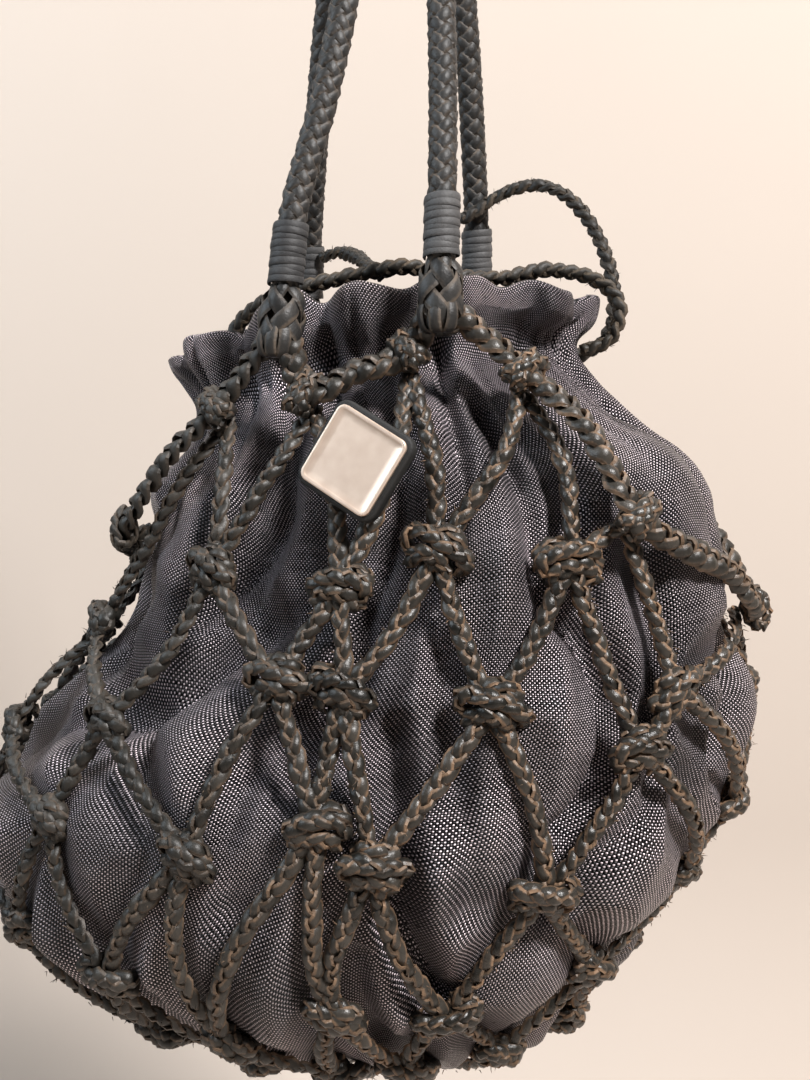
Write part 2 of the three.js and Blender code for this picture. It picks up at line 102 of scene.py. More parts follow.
# The net's knots, ring by ring: turns in degrees and heights.
RINGS = {
    "yoke": ([-65, -38, -14, 11, 36, 45, 91, 117, 136, 161, 188, 214, 236, 262],
             [-346, -302, -302, -293, -300, -342, -378, -340, -300, -295, -299, -303, -341, -362]),
    "first": ([-72, -35, -8, 8, 32, 52, 96, 122, 147, 173, 199, 224, 248, 270],
              [-384, -358, -361, -349, -353, -396, -406, -384, -366, -360, -360, -364, -378, -394]),
    "second": ([-76, -39, -14, -3, 19, 44, 83, 109, 134, 160, 186, 211, 236, 261],
               [-426, -410, -391, -393, -397, -413, -443, -436, -420, -410, -406, -410, -418, -428]),
    "third": ([-80, -42, -15, 1, 10, 36, 79, 100, 124, 148, 173, 199, 225, 252],
              [-460, -444, -447, -434, -446, -457, -468, -472, -464, -458, -456, -458, -462, -464]),
    "fourth": ([-50, -27, -11, 11, 30, 60, 90, 113, 137, 161, 186, 212, 240, 270],
               [-488, -494, -516, -499, -502, -495, -502, -506, -506, -504, -503, -502, -498, -492]),
    "fifth": ([-38, -17, 3, 21, 46, 74, 101, 125, 149, 174, 199, 226, 255, 290],
              [-524, -531, -532, -529, -528, -526, -528, -528, -528, -528, -528, -528, -527, -524]),
}
KNOT_COLUMNS = 14
# Upper ring, lower ring, and the columns that each upper knot's two cords step to.
HANGS = [("yoke", "first", (-1, 0)), ("first", "second", (0, 1)), ("second", "third", (0, 1)),
         ("third", "fourth", (-1, 0)), ("fourth", "fifth", (-1, 0))]
CORD_LIFT, CORD_WOBBLE, CORD_PITCH_SPREAD = 5.0, 0.8, 1.0

# The handles' routes, from the left foot over the top to the right foot.
HANDLES = {
    "front": [
        (-27, -47, -259), (-24.7, -44.5, -235), (-14.4, -36, -190), (-8, -28, -149), (-5.5, -19, -90),
        (-5, -12, -38), (-1, -9.5, -15), (8, -8, -5), (17, -9.5, -15), (21, -12, -38), (22, -19, -90),
        (25, -28, -149), (27, -36, -188), (28, -44.5, -227), (28, -47, -251)],
    "back": [
        (-41, 46, -254), (-39.5, 43.5, -230), (-34, 35, -184), (-27.5, 27, -140), (-15, 18, -86),
        (-6, 12, -38), (-1, 9.5, -15), (8, 8, -5), (17, 9.5, -15), (21, 12, -38), (23, 18, -86),
        (27, 27, -138), (29.5, 35, -180), (31, 43.5, -225), (31, 46, -249)],
}
HANDLE_RADIUS, WHIPPING_LENGTH = 5.0, 24.0
COLLAR_RADIUS, COLLAR_HALF, GAP = 8.5, 12.0, 0.35

# Each yoke runs from a collar past columns of the net to the next collar.
YOKES = {
    "yoke_front": ("front_left", (2, 3), "front_right"),
    "yoke_right": ("front_right", (4, 5, 6, 7, 8), "back_right"),
    "yoke_back": ("back_right", (9, 10), "back_left"),
    "yoke_left": ("back_left", (11, 12, 13, 0, 1), "front_left"),
}
YOKE_LIFT = 13.25

DRAWSTRINGS = {
    "drawstring_right": [
        (25.5, 33.7, -224), (31, 34.6, -221), (38, 35.5, -216), (47, 35, -212), (58, 33, -211.5),
        (70, 29, -218), (80.5, 24, -233), (87, 17, -254), (85.5, 10, -273), (72.9, 3.8, -281.7)],
    "drawstring_rim": [
        (75.6, -2, -279.4), (86, -2, -275), (88.5, 0, -262), (81, 2, -253.6), (64, 3, -249), (46, 0, -252),
        (28, -6, -251.5), (10, -11, -248.5), (-8, -13, -251.5), (-26, -14, -255), (-42, -13, -259.5),
        (-53, -11, -267), (-59, -10, -276)],
    "drawstring_left": [
        (-33.2, 40.1, -237), (-26, 36, -235.5), (-15.5, 23, -239), (-6.5, 6, -246), (0.8, -8, -250.6)],
}
DRAWSTRING_DIAMETER, DRAWSTRING_STEP = 5.2, 1.2
BADGE = {"side": 31.5, "corner": 4.5, "base": 5.0, "plate": 28.0, "metal": 1.2, "height": -326.0,
         "place": -4.0, "turn": -30.0, "lean": 0.3, "sidelong": -0.12, "lift": 14.3}

# Flat plaits: how far strands swing aside and out, their width and thickness, the pitch of a swing.
Plait = namedtuple("Plait", "half lift width thick pitch step")
PLAIT_STRANDS, PLAIT_ROLL = 3, 0.75
PLAIT_WAVES, STRAY_ASIDE, STRAY_TILT, STRAY_WIDTH = (3, 7), 0.25, 0.3, 0.14
DRAWSTRING_PLAIT = Plait(half=1.55, lift=1.15, width=3.7, thick=2.0, pitch=15.0, step=1.1)
NET_PLAIT = Plait(half=1.95, lift=1.0, width=3.9, thick=1.25, pitch=18.0, step=1.6)
KNOT_PLAIT = Plait(half=1.9, lift=1.0, width=4.0, thick=1.4, pitch=16.0, step=1.7)
YOKE_PLAIT = Plait(half=3.3, lift=1.6, width=5.2, thick=1.6, pitch=18.5, step=1.35)
HITCH_PLAIT = Plait(half=1.85, lift=0.95, width=3.9, thick=1.35, pitch=14.0, step=1.8)
BOTTOM_PLAIT = Plait(half=2.6, lift=1.2, width=5.0, thick=2.2, pitch=22.0, step=1.35)
# Round braids: how deep strands pass over and under, their width and thickness, the pitch of a turn.
Braid = namedtuple("Braid", "depth width thick pitch step")
BRAID_STRANDS = 4
BRAID_WAVES, BRAID_STRAY_ANGLE, BRAID_STRAY_WIDTH = (4, 8), 0.05, 0.08
HANDLE_BRAID = Braid(depth=0.55, width=4.4, thick=1.3, pitch=23.0, step=1.6)
COLLAR_BRAID = Braid(depth=0.8, width=6.2, thick=1.0, pitch=52.0, step=1.35)
# Loose fibres: where they root, how long they are and how many stand on a millimetre.
Hair = namedtuple("Hair", "radius long per_mm")
DRAWSTRING_HAIR = Hair(radius=2.4, long=2.4, per_mm=1.1)
NET_HAIR = Hair(radius=3.6, long=2.2, per_mm=0.45)
NET_HAIR_STEP = 2.0
# Share of raw edges that show.
DRAWSTRING_TAN, HANDLE_TAN, WHIPPING_TAN, COLLAR_TAN, BOTTOM_TAN, TIE_TAN = 0.9, 0.8, 0.5, 1.0, 0.8, 0.4
YOKE_TAN_SHARE = 0.75

# The photo's camera: turn and pitch in degrees, distance and height, and its lens.
CAMERA_TURN, CAMERA_PITCH = 9.0, 5.0
CAMERA_DISTANCE, CAMERA_HEIGHT = 475.0, -310.0
LENS, SENSOR, NEAREST = 40.8, 36.0, 0.01


def photo_camera():
    turn = math.radians(CAMERA_TURN)
    ahead = Vector((-math.sin(turn), math.cos(turn), 0))
    data = bpy.data.cameras.new("camera")
    data.lens = LENS
    data.sensor_width = SENSOR
    data.clip_start = NEAREST
    camera = bpy.data.objects.new("camera", data)
    camera.location = (Vector((0, 0, CAMERA_HEIGHT)) - ahead * CAMERA_DISTANCE) * MM
    camera.rotation_euler = (math.pi / 2 - math.radians(CAMERA_PITCH), 0, turn)
    bpy.context.collection.objects.link(camera)
    bpy.context.scene.camera = camera


photo_camera()


# Directions and curves.
CURVE_STEPS = 24
ASKEW = np.array([0.31, 0.87, 0.38])


def unit(v):
    return v / np.maximum(np.linalg.norm(v, axis=-1, keepdims=True), 1e-9)


def smooth(t):
    t = np.clip(t, 0, 1)
    return t * t * (3 - 2 * t)


def hermite(t, a, slope_a, b, slope_b):
    return ((2 * t**3 - 3 * t**2 + 1) * a + (t**3 - 2 * t**2 + t) * slope_a
            + (3 * t**2 - 2 * t**3) * b + (t**3 - t**2) * slope_b)


def curve(points):
    """A centripetal curve through the points."""
    p = np.asarray(points, float)
    p = np.vstack([2 * p[0] - p[1], p, 2 * p[-1] - p[-2]])
    t = np.linspace(0, 1, CURVE_STEPS, endpoint=False)[:, None]
    out = []
    for i in range(1, len(p) - 2):
        p0, p1, p2, p3 = p[i - 1:i + 3]
        d0, d1, d2 = (max(np.linalg.norm(b - a) ** 0.5, 1e-4) for a, b in ((p0, p1), (p1, p2), (p2, p3)))
        m1 = ((p1 - p0) / d0 - (p2 - p0) / (d0 + d1) + (p2 - p1) / d1) * d1
        m2 = ((p2 - p1) / d1 - (p3 - p1) / (d1 + d2) + (p3 - p2) / d2) * d1
        out.append(hermite(t, p1, m1, p2, m2))
    return np.vstack(out + [p[-2:-1]])


def lengths(line):
    return np.concatenate([[0], np.cumsum(np.linalg.norm(np.diff(line, axis=0), axis=1))])


def read_off(line, far, s):
    """The line's values at distances s, where far are the distances of its points."""
    return np.stack([np.interp(s, far, line[:, k]) for k in range(3)], -1)


def even(line, step):
    """The line at even steps, and the distance along it."""
    far = lengths(line)
    s = np.linspace(0, far[-1], max(4, int(round(far[-1] / step)) + 1))
    return read_off(line, far, s), s


def tangents(line):
    return unit(np.gradient(line, axis=0))


def carried(line):
    """Normals carried along a line without twisting."""
    along = tangents(line)
    normal = unit(np.cross(along[0], ASKEW))
    out = []
    for t in along:
        normal = unit(normal - t * normal.dot(t))
        out.append(normal)
    return np.array(out)


def turned(normal, across, angle):
    return normal * np.cos(angle)[:, None] + across * np.sin(angle)[:, None]


def spun(angle):
    """A turn about the third axis, for points in rows."""
    c, s = math.cos(angle), math.sin(angle)
    return np.array([[c, s, 0], [-s, c, 0], [0, 0, 1]])


def in_frame(points):
    return (points - [HOLD_SHIFT, 0, 0]) * MM


def any_phase():
    return RNG.uniform(0, PHASE_SPAN)


def stray(s, waves):
    """A slow wave along a strand, different each time."""
    return np.sin(s / RNG.uniform(*waves) + any_phase())


# The bag's outline and places on it.
def section(row):
    """The six numbers of the outline at a row, on a smooth curve through the sections."""
    row = np.asarray(row, float)
    i = np.clip(np.floor(row).astype(int), 0, LAST_ROW - 1)
    before, here, below, after = (SECTIONS[np.clip(i + k, 0, LAST_ROW)] for k in (-1, 0, 1, 2))
    slope = np.where((i > 0)[..., None], (below - before) / 2, below - here)
    slope_below = np.where((i + 2 <= LAST_ROW)[..., None], (after - here) / 2, below - here)
    return hermite((row - i)[..., None], here, slope, below, slope_below)


# Heights by row, to find the row of a height.
ROW_TABLE = np.linspace(0, LAST_ROW, 3001)
HEIGHT_TABLE = section(ROW_TABLE)[:, 0]


def row_at(height):
    return np.interp(-np.asarray(height, float), -HEIGHT_TABLE, ROW_TABLE)


def outline(row, turn):
    s = section(row)
    side = np.sin(turn)
    z = s[..., 0] + s[..., 1] * side - s[..., 2] * side**2
    return np.stack([s[..., 3] + s[..., 4] * side, -s[..., 5] * np.cos(turn), z], -1)


def outward(row, turn):
    step = 0.02
    across = outline(row, turn + step) - outline(row, turn - step)
    down = outline(np.minimum(row + step, LAST_ROW), turn) - outline(np.maximum(row - step, 0), turn)
    return unit(np.cross(down, across))


def on_bag(row, turn, lift):
    return outline(row, turn) + outward(row, turn) * lift


def axes_at(row, turn):
    """Right, up and out of the bag at a place on it."""
    out = outward(row, turn)
    up = unit(np.array([0, 0, 1.0]) - out * out[2]) if abs(out[2]) < 0.98 else np.array([0, 1.0, 0])
    return np.array([-np.cross(out, up), up, out])


def knot_place(ring, column):
    """Row and turn of a knot; columns run on past the last one, a lap further round."""
    lap = math.floor(column / KNOT_COLUMNS)
    turns, heights = RINGS[ring]
    k = column - lap * KNOT_COLUMNS
    return float(row_at(heights[k])), math.radians(turns[k] + 360 * lap)


def tan_at(point):
    """Raw edges show more to the right and below."""
    right = smooth((point[0] + 90) / 150)
    low = smooth((-point[2] - 420) / 90)
    return float(np.clip(0.14 + 0.74 * right + 0.22 * low, 0, 1))


# The weave: threads in a girth of this many millimetres.
THREADS, WEAVE_ROUND = 960, 740.0


# Meshes: every piece is gathered from strands and made once.
class Bundle:
    def __init__(self):
        self.strands = []
        self.count = 0

    def add(self, points, quads, crisp, edge, tone, tan):
        same = np.ones(len(points))
        self.strands.append((points, quads + self.count, crisp, edge, same * tone, same * tan))
        self.count += len(points)

    def build(self, name, slot, replaced=()):
        points, quads, crisp, edge, tone, tan = (np.concatenate(each) for each in zip(*self.strands))
        values = {"edge": edge, "tone": tone, "tan": tan}
        return piece(name, points, quads, slot, replaced, values, crisp=crisp)


def piece(name, points, quads, slot, replaced=(), values=None, uv=None, crisp=None):
    mesh = bpy.data.meshes.new(name)
    mesh.vertices.add(len(points))
    mesh.vertices.foreach_set("co", in_frame(points).astype(np.float32).ravel())
    mesh.loops.add(quads.size)
    mesh.loops.foreach_set("vertex_index", quads.astype(np.int32).ravel())
    mesh.polygons.add(len(quads))
    mesh.polygons.foreach_set("loop_start", np.arange(0, quads.size, 4, dtype=np.int32))
    mesh.polygons.foreach_set("use_smooth", np.ones(len(quads), bool) if crisp is None else ~crisp)
    for key, value in (values or {}).items():
        mesh.attributes.new(key, "FLOAT", "POINT").data.foreach_set("value", value.astype(np.float32))
    if uv is not None:
        weave_layer(mesh, uv[quads])
    mesh.update(calc_edges=True)
    mesh.validate()
    mesh.materials.append(MATERIALS[slot])
    obj = bpy.data.objects.new(name, mesh)
    bpy.context.collection.objects.link(obj)
    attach(obj, "root")
    if replaced:
        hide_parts(*replaced)
    return obj


def weave_layer(mesh, corner):
    """Millimetres round and down the cloth, for the weave. Faces across the seam run on past it."""
    u = corner[..., 0]
    across_seam = np.ptp(u, axis=1, keepdims=True) > WEAVE_ROUND / 2
    u += WEAVE_ROUND * (across_seam & (u < 0))
    layer = mesh.uv_layers.new(name="weave")
    layer.data.foreach_set("uv", corner.astype(np.float32).ravel())


def tube_quads(rings, around):
    """Faces between rings of points."""
    a = np.arange(rings - 1)[:, None] * around + np.arange(around)
    b = np.arange(rings - 1)[:, None] * around + (np.arange(around) + 1) % around
    return np.stack([a, b, b + around, a + around], -1).reshape(-1, 4)


def closing_quads(around):
    """Faces across one ring of points."""
    i = np.arange(around // 2 - 1)
    return np.stack([i, around - 1 - i, around - 2 - i, i + 1], -1)


# A thong's section: half a width of 1 and half a thickness of 1, a low crown and slanting raw edges.
THONG = np.array([(-1, -0.15), (-0.7, 0.9), (0, 1.25), (0.7, 0.9), (1, -0.15), (0.7, -0.95), (0, -1),
                  (-0.7, -0.95)])
THONG_EDGE = np.array([1, 0.6, 0, 0.6, 1, 0.9, 0.4, 0.9])
RAW = np.array([True, False, False, True, True, False, False, True])
CAP = np.array([(0, 1, 6, 7), (1, 2, 5, 6), (2, 3, 4, 5)])


def sweep(bundle, line, up, width, thick, tone, tan):
    """One thong along a line, with its face towards up. Its width may change along the line."""
    along = tangents(line)
    side = unit(np.cross(along, up))
    up = np.cross(side, along)
    half_width = np.reshape(width, (-1, 1, 1)) / 2
    aside = side[:, None] * THONG[:, :1] * half_width
    points = line[:, None] + aside + up[:, None] * THONG[:, 1:] * (thick / 2)
    around, rings = len(THONG), len(line)
    wall = tube_quads(rings, around)[:, ::-1]
    quads = np.vstack([wall, CAP, CAP[:, ::-1] + (rings - 1) * around])
    crisp = np.concatenate([np.tile(RAW, rings - 1), np.ones(2 * len(CAP), bool)])
    bundle.add(points.reshape(-1, 3), quads, crisp, np.tile(THONG_EDGE, rings), tone, tan)


def plait(bundle, line, hint, form, tan, phase=0.0):
    """A flat plait: each strand swings across the line, over and under the others in turn."""
    fine, s = even(line, form.step)
    hints = read_off(hint, lengths(line), s)
    along = tangents(fine)
    normal = unit(hints - along * np.sum(hints * along, -1, keepdims=True))
    across = np.cross(along, normal)
    for k in range(PLAIT_STRANDS):
        swing = FULL_TURN * (s / form.pitch + k / PLAIT_STRANDS) + phase
        aside, tilt, swell = (stray(s, PLAIT_WAVES) for _ in range(3))
        x = form.half * np.sin(swing) + STRAY_ASIDE * aside
        z = -form.lift * np.sin((PLAIT_STRANDS - 1) * swing)
        up = turned(normal, across, PLAIT_ROLL * np.sin(swing) + STRAY_TILT * tilt)
        strand = fine + across * x[:, None] + normal * z[:, None]
        sweep(bundle, strand, up, form.width * (1 + STRAY_WIDTH * swell), form.thick, RNG.random(), tan)


def round_braid(bundle, line, radius, form, tan, phase=0.0):
    """A round braid: two families of strands wind opposite ways and pass over and under in turn."""
    far = lengths(line)
    fine, s = even(line, form.step)
    radius = np.interp(s, far, np.broadcast_to(radius, far.shape))
    normal = carried(fine)
    across = np.cross(tangents(fine), normal)
    width = form.width * (radius / radius.max())
    wind = FULL_TURN * s / form.pitch
    for way in (1, -1):
        reach = radius + way * form.depth * np.cos(BRAID_STRANDS * wind)
        for k in range(BRAID_STRANDS):
            wander = stray(s, BRAID_WAVES)
            angle = way * wind + FULL_TURN * k / BRAID_STRANDS + phase + BRAID_STRAY_ANGLE * wander
            out = turned(normal, across, angle)
            strand = fine + out * reach[:, None]
            wide = width * (1 + BRAID_STRAY_WIDTH * wander)
            sweep(bundle, strand, out, wide, form.thick, RNG.random(), tan)


# Loose fibres are square in section, with a root, a middle and a tip.
FIBRE = np.array([(-1, -1), (1, -1), (1, 1), (-1, 1)], float)
FIBRE_HALF = np.array([0.13, 0.1, 0.03])
FIBRE_LEAN, FIBRE_BEND, FIBRE_ROOT, FIBRE_SHORTEST = 0.8, 0.35, 0.75, 0.4
FIBRE_QUADS = np.vstack([[(0, 3, 2, 1), (8, 9, 10, 11)], tube_quads(len(FIBRE_HALF), len(FIBRE))])


def hairs(bundle, line, form, far, tan):
    """Short loose fibres that stand out of a line of length far."""
    along = tangents(line)
    for _ in range(int(far * form.per_mm)):
        i = RNG.integers(1, len(line) - 1)
        out = unit(np.cross(along[i], RNG.normal(size=3)))
        lean = unit(out + along[i] * RNG.normal() * FIBRE_LEAN)
        reach = form.long * (FIBRE_SHORTEST + (1 - FIBRE_SHORTEST) * RNG.random())
        bend = np.cross(lean, along[i]) * RNG.normal() * FIBRE_BEND
        root = line[i] + out * form.radius * FIBRE_ROOT
        middle = root + lean * reach * 0.5 + bend * reach * 0.2
        hair = np.array([root, middle, root + lean * reach + bend * reach])
        side = unit(np.cross(lean, along[i] + 1e-3))
        ring = side * FIBRE[:, :1] + np.cross(side, lean) * FIBRE[:, 1:]
        points = (hair[:, None] + ring * FIBRE_HALF[:, None, None]).reshape(-1, 3)
        crisp = np.zeros(len(FIBRE_QUADS), bool)
        bundle.add(points, FIBRE_QUADS, crisp, np.ones(len(points)), RNG.random(), tan)


# Materials.
class Nodes:
    """The nodes of a material or a world. Adding one returns its output, or all of them."""

    def __init__(self, owner):
        owner.use_nodes = True
        self.owner = owner
        self.tree = owner.node_tree

    def feed(self, socket, value):
        """Link another node's output to the socket, or set a plain value on it."""
        if isinstance(value, bpy.types.NodeSocket):
            self.tree.links.new(value, socket)
        else:
            socket.default_value = value

    def give(self, key, value, node="Principled BSDF"):
        self.feed(self.tree.nodes[node].inputs[key], value)

    def add(self, kind, inputs=None, **settings):
        node = self.tree.nodes.new("ShaderNode" + kind)
        for key, value in settings.items():
            setattr(node, key, value)
        for key, value in (inputs or {}).items():
            self.feed(node.inputs[key], value)
        return node.outputs

    def calc(self, operation, a, b=0.0):
        return self.add("Math", {0: a, 1: b}, operation=operation)[0]

    def plus(self, a, b):
        return self.calc("ADD", a, b)

    def times(self, a, b):
        return self.calc("MULTIPLY", a, b)

    def ramp(self, value, low, high, start=0.0, end=1.0):
        return self.add("MapRange", {0: value, 1: low, 2: high, 3: start, 4: end})[0]

    def blend(self, factor, a, b):
        return self.add("Mix", {0: factor, 6: a, 7: b}, data_type="RGBA")[2]

    def choose(self, factor, a, b):
        return self.add("Mix", {0: factor, 2: a, 3: b}, data_type="FLOAT")[0]

    def speckle(self, place, scale, detail, rough=0.5):
        return self.add("TexNoise", {"Vector": place, "Scale": scale, "Detail": detail, "Roughness": rough})

    def bump(self, strength, distance, height):
        return self.add("Bump", {"Strength": strength, "Distance": distance, "Height": height})[0]


def leather(name, dark, light, raw, rough, raw_share):
    """Worn thongs: dark faces, lighter where rubbed, and raw brown edges."""
    look = Nodes(bpy.data.materials.new(name))
    place = look.add("TexCoord")["Object"]
    tone, edge, tan = (look.add("Attribute", attribute_name=key)["Fac"] for key in ("tone", "edge", "tan"))
    cloudy = look.speckle(place, 140.0, 4.0, 0.6)["Fac"]
    grain = look.speckle(place, 1300.0, 3.0, 0.65)["Fac"]
    fray = look.speckle(place, 520.0, 3.0, 0.7)["Fac"]
    worn = look.plus(look.times(tone, 0.55), look.times(cloudy, 0.75))
    face = look.blend(look.ramp(worn, 0.25, 1.05), dark, light)
    rim = look.ramp(look.plus(edge, look.times(fray, 0.5)), 0.66, 0.95)
    bare = look.times(rim, look.times(tan, raw_share))
    bare = look.times(bare, look.ramp(cloudy, 0.36, 0.62, 0.25))
    bare = look.times(bare, look.ramp(tone, 0.1, 0.7, 0.4))
    look.give("Base Color", look.blend(bare, face, raw))
    uneven = look.plus(look.times(grain, 0.22), look.times(bare, 0.35))
    dull = look.times(look.calc("SUBTRACT", 1.0, tan), 0.22)
    look.give("Roughness", look.plus(look.plus(uneven, dull), rough))
    look.give("Specular IOR Level", 0.42)
    look.give("Normal", look.bump(0.6, 0.00025, look.plus(grain, look.times(fray, 0.8))))
    return look.owner


def cloth(name):
    """Shiny open weave with dark weft, about 0.8 mm apart, with threads of uneven tone. The warp's light
    colour is a painted glint, brighter at random crossings, and the gaps between threads carry painted shade.
    """
    look = Nodes(bpy.data.materials.new(name))
    place = look.add("UVMap", uv_map="weave")[0]
    flat = look.add("SeparateXYZ", {"Vector": place})
    drift = look.add("SeparateColor", {"Color": look.speckle(place, 0.014, 1.0)["Color"]})
    pitch = WEAVE_ROUND / THREADS
    u, v = (look.calc("DIVIDE", look.plus(flat[k], look.times(drift[k], 16.0)), pitch) for k in (0, 1))
    cross = look.times(look.calc("SINE", look.times(u, math.pi)), look.calc("SINE", look.times(v, math.pi)))
    height = look.calc("SQRT", look.calc("ABSOLUTE", cross))
    warp = look.calc("GREATER_THAN", cross, 0.0)
    cell_u, cell_v = look.calc("FLOOR", u), look.calc("FLOOR", v)
    thread_u, thread_v = (
        look.add("TexWhiteNoise", {"W": number}, noise_dimensions="1D")[0] for number in (cell_u, cell_v))
    cell = look.add("CombineXYZ", {"X": cell_u, "Y": cell_v})[0]
    # Painted glints: each crossing of threads gets a random brightness, mixed below with each thread's own
    # uneven tone.
    painted_crossing_glint = look.add("TexWhiteNoise", {"Vector": cell}, noise_dimensions="2D")[0]
    tone = look.plus(look.times(look.choose(warp, thread_v, thread_u), 0.55), look.times(painted_crossing_glint, 0.45))
    # Painted glint: the warp floats are painted near white, and the dark weft keeps its own colour.
    bright = look.plus(look.choose(warp, 0.06, 0.98), look.times(look.calc("SUBTRACT", tone, 0.5), 0.3))
    # Painted shade: the colour darkens from each thread's crown towards the gaps between threads.
    painted_glint_and_shade = look.times(bright, look.ramp(height, 0.6, 0.93))
    patch = look.speckle(place, 0.021, 2.0)["Fac"]
    painted_glint_and_shade = look.times(painted_glint_and_shade, look.ramp(patch, 0.36, 0.6, 0.5, 1.2))
    # The pale pink is the colour of the painted glints; near black is the weft and the painted shade.
    look.give("Base Color", look.blend(painted_glint_and_shade, (0.001, 0.001, 0.002, 1), (0.92, 0.80, 0.85, 1)))
    look.give("Roughness", look.plus(0.26, look.times(tone, 0.24)))
    look.give("Metallic", 0.5)
    look.give("Specular IOR Level", 0.6)
    look.give("Normal", look.bump(0.9, 0.0005, height))
    return look.owner


def metal(name):
    """A rubbed bright plate."""
    look = Nodes(bpy.data.materials.new(name))
    rubbed = look.speckle(look.add("TexCoord")["Object"], 260.0, 5.0)["Fac"]
    look.give("Base Color", look.blend(rubbed, (0.72, 0.55, 0.44, 1), (0.84, 0.69, 0.57, 1)))
    look.give("Metallic", 0.55)
    look.give("Roughness", look.ramp(rubbed, 0.3, 0.7, 0.3, 0.42))
    look.give("Normal", look.bump(0.08, 0.0001, rubbed))
    return look.owner


def paper(name, colour, shade, rough):
    """The backdrop's paper. It shows its front only, so that the bag can be seen from behind it."""
    look = Nodes(bpy.data.materials.new(name))
    cloudy = look.speckle(look.add("TexCoord")["Object"], 3.0, 3.0)["Fac"]
    look.give("Base Color", look.blend(cloudy, colour, shade))
    look.give("Roughness", rough)
    behind, clear = look.add("NewGeometry")["Backfacing"], look.add("BsdfTransparent")[0]
    front = look.tree.nodes["Principled BSDF"].outputs[0]
    look.give("Surface", look.add("MixShader", {0: behind, 1: front, 2: clear})[0], "Material Output")
    return look.owner


# Each leather's dark, light and raw colours, its roughness and its share of raw edge, by slot.
LEATHERS = {
    "net_leather": ((0.005, 0.005, 0.004, 1), (0.046, 0.040, 0.033, 1), (0.24, 0.145, 0.084, 1), 0.18, 1.0),
    "handle_leather": ((0.008, 0.008, 0.008, 1), (0.034, 0.032, 0.030, 1), (0.12, 0.09, 0.065, 1), 0.34, 0.8),
    "thong": ((0.020, 0.020, 0.021, 1), (0.085, 0.083, 0.083, 1), (0.06, 0.057, 0.055, 1), 0.38, 0.4),
    "drawstring": ((0.005, 0.004, 0.003, 1), (0.024, 0.020, 0.015, 1), (0.11, 0.078, 0.05, 1), 0.42, 0.8),
    "backing": ((0.008, 0.008, 0.008, 1), (0.022, 0.022, 0.021, 1), (0.04, 0.04, 0.035, 1), 0.4, 0.4),
}
MATERIALS = {slot: leather(slot, *numbers) for slot, numbers in LEATHERS.items()}
MATERIALS["cloth"] = cloth("cloth")
MATERIALS["badge_metal"] = metal("badge_metal")


# Drawstring: plaits of narrow thongs, with loose fibres.
def drawstring(name, route):
    line, s = even(curve(route), DRAWSTRING_STEP)
    bundle = Bundle()
    plait(bundle, line, carried(line), DRAWSTRING_PLAIT, DRAWSTRING_TAN)
    obj = bundle.build(f"{name}_cord", "drawstring", (name,))
    return line


strings = [drawstring(name, route) for name, route in DRAWSTRINGS.items()]
fuzz = Bundle()
for string in strings:
    hairs(fuzz, string, DRAWSTRING_HAIR, lengths(string)[-1], DRAWSTRING_TAN)
fuzz.build("drawstring_fibres", "drawstring")


# The net: cords from knot to knot.
def net_cords():
    """Rows and turns along each cord, after the ring that it hangs from."""
    t = np.linspace(0, 1, 25)
    for upper, lower, steps in HANGS:
        for column in range(KNOT_COLUMNS):
            row, turn = knot_place(upper, column)
            for step in steps:
                end_row, end_turn = knot_place(lower, column + step)
                yield upper, row + (end_row - row) * t, turn + (end_turn - turn) * t
    t = np.linspace(0, 1, 20)
    for column in range(KNOT_COLUMNS):
        row, turn = knot_place("fifth", column)
        yield "fifth", row + (LAST_ROW - row) * t, np.full(len(t), turn)


net_upper, net_lower, net_fibres = Bundle(), Bundle(), Bundle()
knots_front, knots_back = Bundle(), Bundle()
cord_points = []
for ring, rows, turns in net_cords():
    line = on_bag(rows, turns, CORD_LIFT)
    cord_points.append(line)
    wobble = RNG.normal(size=3) * CORD_WOBBLE
    line = line + np.sin(np.linspace(0, math.pi, len(line)))[:, None] * wobble
    tan = tan_at(line[len(line) // 2])
    form = NET_PLAIT._replace(pitch=NET_PLAIT.pitch + RNG.normal() * CORD_PITCH_SPREAD)
    bundle = net_upper if ring in ("yoke", "first") else net_lower
    plait(bundle, line, outward(rows, turns), form, tan, any_phase())
    hairs(net_fibres, even(line, NET_HAIR_STEP)[0], NET_HAIR, lengths(line)[-1], tan)

# Knots: the cord wraps across, slanting or level, with an ear at the side. Points are right, up and out.
KNOTS = [
    [[(-6.0, -1.5, 1.2), (-9.6, 2.0, 3.2), (-7.4, 5.2, 6.0), (-1.6, 3.6, 8.6), (3.6, 0.4, 9.0),
      (8.0, -2.6, 7.2), (10.4, -4.8, 4.0), (7.4, -6.2, 1.4)],
     [(-8.2, -3.6, 1.6), (-6.4, -2.2, 5.2), (-1.6, -2.6, 7.6), (3.0, -5.4, 6.8), (4.6, -7.8, 3.6),
      (1.6, -8.2, 1.2)],
     [(-2.0, 6.6, 1.6), (1.8, 6.6, 5.6), (6.2, 4.6, 6.6), (8.6, 1.6, 4.8), (6.0, -0.6, 2.2)]],
    [[(-6.4, -3.0, 1.2), (-10.2, -0.8, 3.4), (-8.6, 2.6, 6.2), (-3.4, 3.4, 8.6), (2.6, 2.4, 9.0),
      (7.8, 0.6, 7.0), (10.4, -2.0, 3.8), (7.0, -4.0, 1.2)],
     [(-7.6, -5.8, 1.6), (-5.8, -4.0, 5.4), (-0.4, -3.0, 7.6), (5.2, -4.4, 6.6), (7.8, -6.8, 3.4),
      (4.0, -7.8, 1.2)],
     [(-1.0, 6.0, 1.4), (-5.4, 7.0, 4.0), (-9.6, 5.2, 4.2), (-10.6, 1.8, 2.6)]],
]
